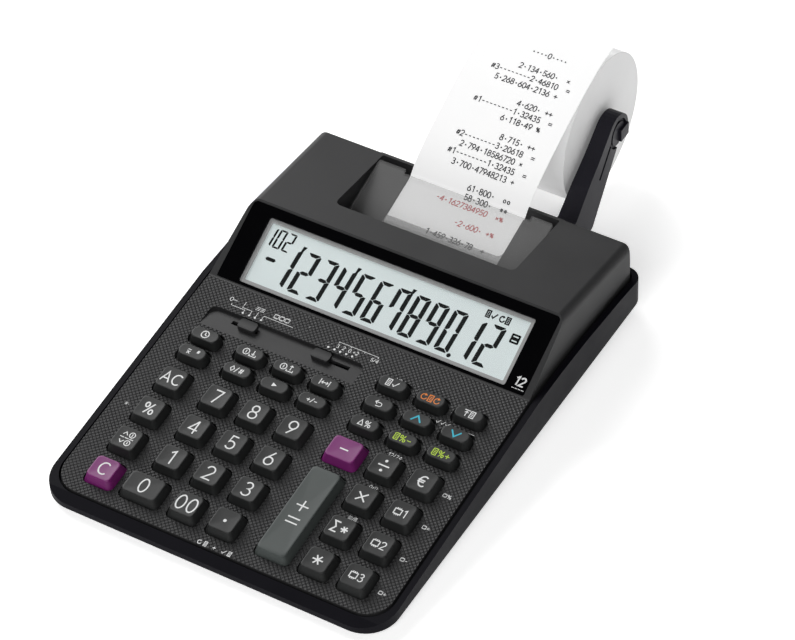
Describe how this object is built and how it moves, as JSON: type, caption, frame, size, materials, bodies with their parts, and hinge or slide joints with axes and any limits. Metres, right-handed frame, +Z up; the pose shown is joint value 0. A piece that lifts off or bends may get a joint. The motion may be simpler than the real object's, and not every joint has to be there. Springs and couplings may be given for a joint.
{
  "type": "printing desk calculator",
  "caption": "Desk calculator with built-in roll printer: wedge case, push keys, slide switches, tilted display, tear cover and a paper roll on a folding holder.",
  "frame": {"origin": "middle of the overall footprint, on the desk", "axes": "+X to the user's right, +Y from the keys to the paper roll, +Z up"},
  "size_m": [0.165, 0.3178, 0.0763],
  "materials": {
    "case_upper": "fine embossed texture",
    "case_lower": "satin",
    "key_black": "satin",
    "key_purple": "satin",
    "key_grey": "satin",
    "lens_black": "gloss",
    "lcd_glass": "gloss",
    "smoked_plastic": "gloss",
    "silicone": "matt",
    "board": "satin",
    "works_plastic": "matt",
    "rubber": "matt",
    "screw_steel": "satin",
    "paper": "matt"
  },
  "bodies": {
    "case": {"lower_case": "case_lower", "upper_case": "case_upper", "display_lens": "lens_black", "lcd_module": "lcd_glass", "key_mat": "silicone", "circuit_board": "board", "printer_unit": "works_plastic", "rubber_feet": "rubber", "case_screws": "screw_steel", "printed_strip": "paper"},
    "roll_holder": {"roll_holder": "case_lower"},
    "paper_roll": {"paper_roll": "paper"},
    "printer_cover": {"printer_cover": "smoked_plastic"},
    "battery_door": {"battery_door": "case_lower"},
    "feed_roller": {"feed_roller": "silicone"},
    "mode_switch_knob": {"mode_switch_knob": "key_black"},
    "rounding_switch_knob": {"rounding_switch_knob": "key_black"},
    "key_clear_entry": {"key_clear_entry": "key_purple"},
    "key_markup": {"key_markup": "key_black"},
    "key_percent": {"key_percent": "key_black"},
    "key_clear_all": {"key_clear_all": "key_black"},
    "key_00": {"key_00": "key_black"},
    "key_2": {"key_2": "key_black"},
    "key_5": {"key_5": "key_black"},
    "key_8": {"key_8": "key_black"},
    "key_point": {"key_point": "key_black"},
    "key_3": {"key_3": "key_black"},
    "key_6": {"key_6": "key_black"},
    "key_9": {"key_9": "key_black"},
    "key_total": {"key_total": "key_black"},
    "key_grand_total": {"key_grand_total": "key_black"},
    "key_multiply": {"key_multiply": "key_black"},
    "key_divide": {"key_divide": "key_black"},
    "key_memory_3": {"key_memory_3": "key_black"},
    "key_memory_2": {"key_memory_2": "key_black"},
    "key_memory_1": {"key_memory_1": "key_black"},
    "key_currency": {"key_currency": "key_black"},
    "key_1": {"key_1": "key_black"},
    "key_4": {"key_4": "key_black"},
    "key_7": {"key_7": "key_black"},
    "key_0": {"key_0": "key_black"},
    "key_minus": {"key_minus": "key_purple"},
    "key_plus_equals": {"key_plus_equals": "key_grey"},
    "key_average": {"key_average": "key_black"},
    "key_subtotal": {"key_subtotal": "key_black"},
    "key_backspace": {"key_backspace": "key_black"},
    "key_sign": {"key_sign": "key_black"},
    "key_clock": {"key_clock": "key_black"},
    "key_cost": {"key_cost": "key_black"},
    "key_sell": {"key_sell": "key_black"},
    "key_margin": {"key_margin": "key_black"},
    "key_delta_percent": {"key_delta_percent": "key_black"},
    "key_tax_minus": {"key_tax_minus": "key_black"},
    "key_tax_plus": {"key_tax_plus": "key_black"},
    "key_correct": {"key_correct": "key_black"},
    "key_check_back": {"key_check_back": "key_black"},
    "key_check_on": {"key_check_on": "key_black"},
    "key_print": {"key_print": "key_black"},
    "key_reprint": {"key_reprint": "key_black"},
    "key_feed": {"key_feed": "key_black"}
  },
  "joints": [
    {"name": "roll_holder_fold", "type": "hinge", "parent": "case", "child": "roll_holder", "pos_m": [0, 0.07249, 0.01396], "axis": [1, 0, 0], "range_deg": [0, 50], "deforming": ["printed_strip"]},
    {"name": "paper_roll_spin", "type": "hinge", "parent": "roll_holder", "child": "paper_roll", "pos_m": [0.001, 0.12386, 0.0374], "axis": [1, 0, 0], "continuous": true},
    {"name": "printer_cover_hinge", "type": "hinge", "parent": "case", "child": "printer_cover", "pos_m": [0, 0.02395, 0.02901], "axis": [1, 0, 0], "range_deg": [0, 70]},
    {"name": "battery_door_hinge", "type": "hinge", "parent": "case", "child": "battery_door", "pos_m": [0, -0.02228, 0.00606], "axis": [-1, 0, 0], "range_deg": [0, 85]},
    {"name": "feed_roller_spin", "type": "hinge", "parent": "case", "child": "feed_roller", "pos_m": [0.001, 0.03385, 0.01858], "axis": [1, 0, 0], "continuous": true},
    {"name": "mode_switch_slide", "type": "slide", "parent": "case", "child": "mode_switch_knob", "axis": [1, 0, 0], "range_m": [-0.0062, 0.0031]},
    {"name": "rounding_switch_slide", "type": "slide", "parent": "case", "child": "rounding_switch_knob", "axis": [1, 0, 0], "range_m": [0, 0.0116]},
    {"name": "key_clear_entry_press", "type": "slide", "parent": "case", "child": "key_clear_entry", "axis": [0, 0.1385, -0.9904], "range_m": [0, 0.0013], "stiffness_N_per_m": 400},
    {"name": "key_markup_press", "type": "slide", "parent": "case", "child": "key_markup", "axis": [0, 0.1385, -0.9904], "range_m": [0, 0.0013], "stiffness_N_per_m": 400},
    {"name": "key_percent_press", "type": "slide", "parent": "case", "child": "key_percent", "axis": [0, 0.1385, -0.9904], "range_m": [0, 0.0013], "stiffness_N_per_m": 400},
    {"name": "key_clear_all_press", "type": "slide", "parent": "case", "child": "key_clear_all", "axis": [0, 0.1385, -0.9904], "range_m": [0, 0.0013], "stiffness_N_per_m": 400},
    {"name": "key_00_press", "type": "slide", "parent": "case", "child": "key_00", "axis": [0, 0.1385, -0.9904], "range_m": [0, 0.0013], "stiffness_N_per_m": 400},
    {"name": "key_2_press", "type": "slide", "parent": "case", "child": "key_2", "axis": [0, 0.1385, -0.9904], "range_m": [0, 0.0013], "stiffness_N_per_m": 400},
    {"name": "key_5_press", "type": "slide", "parent": "case", "child": "key_5", "axis": [0, 0.1385, -0.9904], "range_m": [0, 0.0013], "stiffness_N_per_m": 400},
    {"name": "key_8_press", "type": "slide", "parent": "case", "child": "key_8", "axis": [0, 0.1385, -0.9904], "range_m": [0, 0.0013], "stiffness_N_per_m": 400},
    {"name": "key_point_press", "type": "slide", "parent": "case", "child": "key_point", "axis": [0, 0.1385, -0.9904], "range_m": [0, 0.0013], "stiffness_N_per_m": 400},
    {"name": "key_3_press", "type": "slide", "parent": "case", "child": "key_3", "axis": [0, 0.1385, -0.9904], "range_m": [0, 0.0013], "stiffness_N_per_m": 400},
    {"name": "key_6_press", "type": "slide", "parent": "case", "child": "key_6", "axis": [0, 0.1385, -0.9904], "range_m": [0, 0.0013], "stiffness_N_per_m": 400},
    {"name": "key_9_press", "type": "slide", "parent": "case", "child": "key_9", "axis": [0, 0.1385, -0.9904], "range_m": [0, 0.0013], "stiffness_N_per_m": 400},
    {"name": "key_total_press", "type": "slide", "parent": "case", "child": "key_total", "axis": [0, 0.1385, -0.9904], "range_m": [0, 0.0013], "stiffness_N_per_m": 400},
    {"name": "key_grand_total_press", "type": "slide", "parent": "case", "child": "key_grand_total", "axis": [0, 0.1385, -0.9904], "range_m": [0, 0.0013], "stiffness_N_per_m": 400},
    {"name": "key_multiply_press", "type": "slide", "parent": "case", "child": "key_multiply", "axis": [0, 0.1385, -0.9904], "range_m": [0, 0.0013], "stiffness_N_per_m": 400},
    {"name": "key_divide_press", "type": "slide", "parent": "case", "child": "key_divide", "axis": [0, 0.1385, -0.9904], "range_m": [0, 0.0013], "stiffness_N_per_m": 400},
    {"name": "key_memory_3_press", "type": "slide", "parent": "case", "child": "key_memory_3", "axis": [0, 0.1385, -0.9904], "range_m": [0, 0.0013], "stiffness_N_per_m": 400},
    {"name": "key_memory_2_press", "type": "slide", "parent": "case", "child": "key_memory_2", "axis": [0, 0.1385, -0.9904], "range_m": [0, 0.0013], "stiffness_N_per_m": 400},
    {"name": "key_memory_1_press", "type": "slide", "parent": "case", "child": "key_memory_1", "axis": [0, 0.1385, -0.9904], "range_m": [0, 0.0013], "stiffness_N_per_m": 400},
    {"name": "key_currency_press", "type": "slide", "parent": "case", "child": "key_currency", "axis": [0, 0.1385, -0.9904], "range_m": [0, 0.0013], "stiffness_N_per_m": 400},
    {"name": "key_1_press", "type": "slide", "parent": "case", "child": "key_1", "axis": [0, 0.1385, -0.9904], "range_m": [0, 0.0013], "stiffness_N_per_m": 400},
    {"name": "key_4_press", "type": "slide", "parent": "case", "child": "key_4", "axis": [0, 0.1385, -0.9904], "range_m": [0, 0.0013], "stiffness_N_per_m": 400},
    {"name": "key_7_press", "type": "slide", "parent": "case", "child": "key_7", "axis": [0, 0.1385, -0.9904], "range_m": [0, 0.0013], "stiffness_N_per_m": 400},
    {"name": "key_0_press", "type": "slide", "parent": "case", "child": "key_0", "axis": [0, 0.1385, -0.9904], "range_m": [0, 0.0013], "stiffness_N_per_m": 400},
    {"name": "key_minus_press", "type": "slide", "parent": "case", "child": "key_minus", "axis": [0, 0.1385, -0.9904], "range_m": [0, 0.0013], "stiffness_N_per_m": 400},
    {"name": "key_plus_equals_press", "type": "slide", "parent": "case", "child": "key_plus_equals", "axis": [0, 0.1385, -0.9904], "range_m": [0, 0.0013], "stiffness_N_per_m": 400},
    {"name": "key_average_press", "type": "slide", "parent": "case", "child": "key_average", "axis": [0, 0.1385, -0.9904], "range_m": [0, 0.0013], "stiffness_N_per_m": 400},
    {"name": "key_subtotal_press", "type": "slide", "parent": "case", "child": "key_subtotal", "axis": [0, 0.1385, -0.9904], "range_m": [0, 0.0013], "stiffness_N_per_m": 400},
    {"name": "key_backspace_press", "type": "slide", "parent": "case", "child": "key_backspace", "axis": [0, 0.1385, -0.9904], "range_m": [0, 0.0013], "stiffness_N_per_m": 400},
    {"name": "key_sign_press", "type": "slide", "parent": "case", "child": "key_sign", "axis": [0, 0.1385, -0.9904], "range_m": [0, 0.0013], "stiffness_N_per_m": 400},
    {"name": "key_clock_press", "type": "slide", "parent": "case", "child": "key_clock", "axis": [0, 0.1385, -0.9904], "range_m": [0, 0.0013], "stiffness_N_per_m": 400},
    {"name": "key_cost_press", "type": "slide", "parent": "case", "child": "key_cost", "axis": [0, 0.1385, -0.9904], "range_m": [0, 0.0013], "stiffness_N_per_m": 400},
    {"name": "key_sell_press", "type": "slide", "parent": "case", "child": "key_sell", "axis": [0, 0.1385, -0.9904], "range_m": [0, 0.0013], "stiffness_N_per_m": 400},
    {"name": "key_margin_press", "type": "slide", "parent": "case", "child": "key_margin", "axis": [0, 0.1385, -0.9904], "range_m": [0, 0.0013], "stiffness_N_per_m": 400},
    {"name": "key_delta_percent_press", "type": "slide", "parent": "case", "child": "key_delta_percent", "axis": [0, 0.1385, -0.9904], "range_m": [0, 0.0013], "stiffness_N_per_m": 400},
    {"name": "key_tax_minus_press", "type": "slide", "parent": "case", "child": "key_tax_minus", "axis": [0, 0.1385, -0.9904], "range_m": [0, 0.0013], "stiffness_N_per_m": 400},
    {"name": "key_tax_plus_press", "type": "slide", "parent": "case", "child": "key_tax_plus", "axis": [0, 0.1385, -0.9904], "range_m": [0, 0.0013], "stiffness_N_per_m": 400},
    {"name": "key_correct_press", "type": "slide", "parent": "case", "child": "key_correct", "axis": [0, 0.1385, -0.9904], "range_m": [0, 0.0013], "stiffness_N_per_m": 400},
    {"name": "key_check_back_press", "type": "slide", "parent": "case", "child": "key_check_back", "axis": [0, 0.1385, -0.9904], "range_m": [0, 0.0013], "stiffness_N_per_m": 400},
    {"name": "key_check_on_press", "type": "slide", "parent": "case", "child": "key_check_on", "axis": [0, 0.1385, -0.9904], "range_m": [0, 0.0013], "stiffness_N_per_m": 400},
    {"name": "key_print_press", "type": "slide", "parent": "case", "child": "key_print", "axis": [0, 0.1385, -0.9904], "range_m": [0, 0.0013], "stiffness_N_per_m": 400},
    {"name": "key_reprint_press", "type": "slide", "parent": "case", "child": "key_reprint", "axis": [0, 0.1385, -0.9904], "range_m": [0, 0.0013], "stiffness_N_per_m": 400},
    {"name": "key_feed_press", "type": "slide", "parent": "case", "child": "key_feed", "axis": [0, 0.1385, -0.9904], "range_m": [0, 0.0013], "stiffness_N_per_m": 400}
  ],
  "couplings": [
    {"joint": "feed_roller_spin", "follows": "paper_roll_spin", "ratio": 7}
  ]
}
